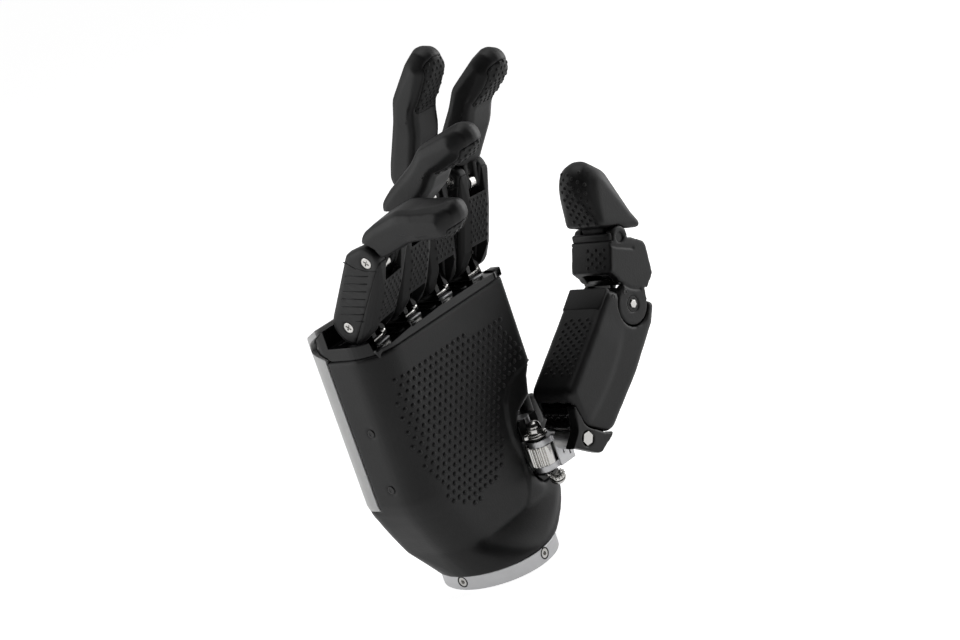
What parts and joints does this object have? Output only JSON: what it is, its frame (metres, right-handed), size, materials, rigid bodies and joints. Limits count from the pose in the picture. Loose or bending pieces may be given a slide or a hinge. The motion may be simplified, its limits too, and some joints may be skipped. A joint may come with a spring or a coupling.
{
  "type": "dexterous robot hand",
  "caption": "Right dexterous robot hand with linkage-driven fingers, a gear-turned thumb, a moulded palm with a white back cover and a bolt-on wrist flange.",
  "frame": {"origin": "centre of the wrist flange's lower face, on the flange's axis", "axes": "+Z from the flange to the fingers, -Y the side the palm faces, +X the thumb's side"},
  "size_m": [0.1273, 0.0881, 0.1932],
  "materials": {
    "black_shell": "fine matte",
    "grip_black": "matte with raised dimples",
    "satin_black": "satin",
    "gloss_black": "gloss",
    "white_cover": "satin",
    "alloy": "turned and bead blasted",
    "steel": "polished",
    "board": "solder resist"
  },
  "bodies": {
    "palm": {"palm_shell": "black_shell", "back_cover": "white_cover", "knuckle_chassis": "gloss_black", "knuckle_blocks": "alloy", "coupler_ground_pins": "steel", "finger_actuators": "alloy", "control_board": "board", "cover_screws": "satin_black", "wrist_flange": "alloy", "flange_screws": "steel", "wrist_connector": "satin_black", "thumb_motor": "alloy", "thumb_housing": "satin_black", "yaw_shaft": "steel", "yaw_nut": "steel"},
    "thumb_pinion": {"thumb_pinion": "steel"},
    "thumb_base": {"thumb_gear": "steel", "thumb_bracket": "alloy", "base_pin": "steel"},
    "thumb_first": {"thumb_frame": "satin_black", "thumb_shell": "black_shell", "thumb_actuator": "alloy"},
    "thumb_middle": {"thumb_knuckle_bush": "satin_black", "thumb_middle_frame": "satin_black", "thumb_middle_cover": "black_shell", "thumb_tip_pin": "steel"},
    "thumb_tip": {"thumb_tip_shell": "black_shell", "thumb_tip_pad": "grip_black"},
    "index_link": {"index_link_frame": "black_shell", "index_grip_cover": "grip_black", "index_pivot_screws": "steel"},
    "index_tip": {"index_tip_shell": "black_shell", "index_tip_pad": "grip_black", "index_coupler_pin": "steel"},
    "index_coupler": {"index_coupler": "steel"},
    "index_rod": {"index_push_rod": "steel"},
    "middle_link": {"middle_link_frame": "black_shell", "middle_grip_cover": "grip_black", "middle_pivot_screws": "steel"},
    "middle_tip": {"middle_tip_shell": "black_shell", "middle_tip_pad": "grip_black", "middle_coupler_pin": "steel"},
    "middle_coupler": {"middle_coupler": "steel"},
    "middle_rod": {"middle_push_rod": "steel"},
    "ring_link": {"ring_link_frame": "black_shell", "ring_grip_cover": "grip_black", "ring_pivot_screws": "steel"},
    "ring_tip": {"ring_tip_shell": "black_shell", "ring_tip_pad": "grip_black", "ring_coupler_pin": "steel"},
    "ring_coupler": {"ring_coupler": "steel"},
    "ring_rod": {"ring_push_rod": "steel"},
    "little_link": {"little_link_frame": "black_shell", "little_grip_cover": "grip_black", "little_pivot_screws": "steel"},
    "little_tip": {"little_tip_shell": "black_shell", "little_tip_pad": "grip_black", "little_coupler_pin": "steel"},
    "little_coupler": {"little_coupler": "steel"},
    "little_rod": {"little_push_rod": "steel"}
  },
  "joints": [
    {"name": "index_knuckle", "type": "hinge", "parent": "palm", "child": "index_link", "pos_m": [0.0323, 0, 0.1116], "axis": [0.999, 0, -0.0436], "range_deg": [-24, 56]},
    {"name": "index_middle", "type": "hinge", "parent": "index_link", "child": "index_tip", "pos_m": [0.03358, -0.01302, 0.14081], "axis": [0.999, 0, -0.0436], "range_deg": [-26.6, 61.8]},
    {"name": "index_coupler_pivot", "type": "hinge", "parent": "palm", "child": "index_coupler", "pos_m": [0.03227, 0.00445, 0.11094], "axis": [0.999, 0, -0.0436], "range_deg": [-19.4, 45]},
    {"name": "index_rod_slide", "type": "slide", "parent": "palm", "child": "index_rod", "axis": [0, 0, 1], "range_m": [-0.00256, 0.00591]},
    {"name": "middle_knuckle", "type": "hinge", "parent": "palm", "child": "middle_link", "pos_m": [0.01305, 0, 0.1122], "axis": [1, 0, 0], "range_deg": [-18.5, 61.5]},
    {"name": "middle_middle", "type": "hinge", "parent": "middle_link", "child": "middle_tip", "pos_m": [0.01305, -0.01015, 0.14255], "axis": [1, 0, 0], "range_deg": [-20.55, 67.85]},
    {"name": "middle_coupler_pivot", "type": "hinge", "parent": "palm", "child": "middle_coupler", "pos_m": [0.01305, 0.00445, 0.11153], "axis": [1, 0, 0], "range_deg": [-15, 49.4]},
    {"name": "middle_rod_slide", "type": "slide", "parent": "palm", "child": "middle_rod", "axis": [0, 0, 1], "range_m": [-0.00199, 0.00649]},
    {"name": "ring_knuckle", "type": "hinge", "parent": "palm", "child": "ring_link", "pos_m": [-0.0062, 0, 0.112], "axis": [0.9986, 0, 0.0523], "range_deg": [-34, 46]},
    {"name": "ring_middle", "type": "hinge", "parent": "ring_link", "child": "ring_tip", "pos_m": [-0.00759, -0.01789, 0.13849], "axis": [0.9986, 0, 0.0523], "range_deg": [-37.6, 50.8]},
    {"name": "ring_coupler_pivot", "type": "hinge", "parent": "palm", "child": "ring_coupler", "pos_m": [-0.00617, 0.00445, 0.11134], "axis": [0.9986, 0, 0.0523], "range_deg": [-27.4, 37]},
    {"name": "ring_rod_slide", "type": "slide", "parent": "palm", "child": "ring_rod", "axis": [0, 0, 1], "range_m": [-0.00361, 0.00487]},
    {"name": "little_knuckle", "type": "hinge", "parent": "palm", "child": "little_link", "pos_m": [-0.02545, 0, 0.111], "axis": [0.9945, 0, 0.1045], "range_deg": [-42, 38]},
    {"name": "little_middle", "type": "hinge", "parent": "little_link", "child": "little_tip", "pos_m": [-0.02794, -0.02141, 0.13465], "axis": [0.9945, 0, 0.1045], "range_deg": [-46.4, 42]},
    {"name": "little_coupler_pivot", "type": "hinge", "parent": "palm", "child": "little_coupler", "pos_m": [-0.02538, 0.00445, 0.11034], "axis": [0.9945, 0, 0.1045], "range_deg": [-33.8, 30.6]},
    {"name": "little_rod_slide", "type": "slide", "parent": "palm", "child": "little_rod", "axis": [0, 0, 1], "range_m": [-0.00445, 0.00403]},
    {"name": "thumb_yaw", "type": "hinge", "parent": "palm", "child": "thumb_base", "pos_m": [0.0219, -0.017, 0.0333], "axis": [0, 0, 1], "range_deg": [-70, 5]},
    {"name": "thumb_pinion_spin", "type": "hinge", "parent": "palm", "child": "thumb_pinion", "pos_m": [0.02431, -0.01038, 0.0333], "axis": [0, 0, 1], "range_deg": [-9.2, 126.2]},
    {"name": "thumb_pitch", "type": "hinge", "parent": "thumb_base", "child": "thumb_first", "pos_m": [0.02793, -0.02606, 0.0365], "axis": [0.0872, 0.9962, 0], "range_deg": [-16, 16]},
    {"name": "thumb_knuckle", "type": "hinge", "parent": "thumb_first", "child": "thumb_middle", "pos_m": [0.07205, -0.02992, 0.0711], "axis": [0.0872, 0.9962, 0], "range_deg": [-21.6, 21.6]},
    {"name": "thumb_end", "type": "hinge", "parent": "thumb_middle", "child": "thumb_tip", "pos_m": [0.07607, -0.03027, 0.09658], "axis": [0.0872, 0.9962, 0], "range_deg": [-11, 11]}
  ],
  "couplings": [
    {"joint": "index_middle", "follows": "index_knuckle", "ratio": 1.1},
    {"joint": "index_coupler_pivot", "follows": "index_knuckle", "ratio": 0.8},
    {"joint": "index_rod_slide", "follows": "index_knuckle", "m_per_rad": 0.006},
    {"joint": "middle_middle", "follows": "middle_knuckle", "ratio": 1.1},
    {"joint": "middle_coupler_pivot", "follows": "middle_knuckle", "ratio": 0.8},
    {"joint": "middle_rod_slide", "follows": "middle_knuckle", "m_per_rad": 0.006},
    {"joint": "ring_middle", "follows": "ring_knuckle", "ratio": 1.1},
    {"joint": "ring_coupler_pivot", "follows": "ring_knuckle", "ratio": 0.8},
    {"joint": "ring_rod_slide", "follows": "ring_knuckle", "m_per_rad": 0.006},
    {"joint": "little_middle", "follows": "little_knuckle", "ratio": 1.1},
    {"joint": "little_coupler_pivot", "follows": "little_knuckle", "ratio": 0.8},
    {"joint": "little_rod_slide", "follows": "little_knuckle", "m_per_rad": 0.006},
    {"joint": "thumb_pinion_spin", "follows": "thumb_yaw", "ratio": -1.8},
    {"joint": "thumb_knuckle", "follows": "thumb_pitch", "ratio": 1.33},
    {"joint": "thumb_end", "follows": "thumb_pitch", "ratio": 0.67}
  ]
}
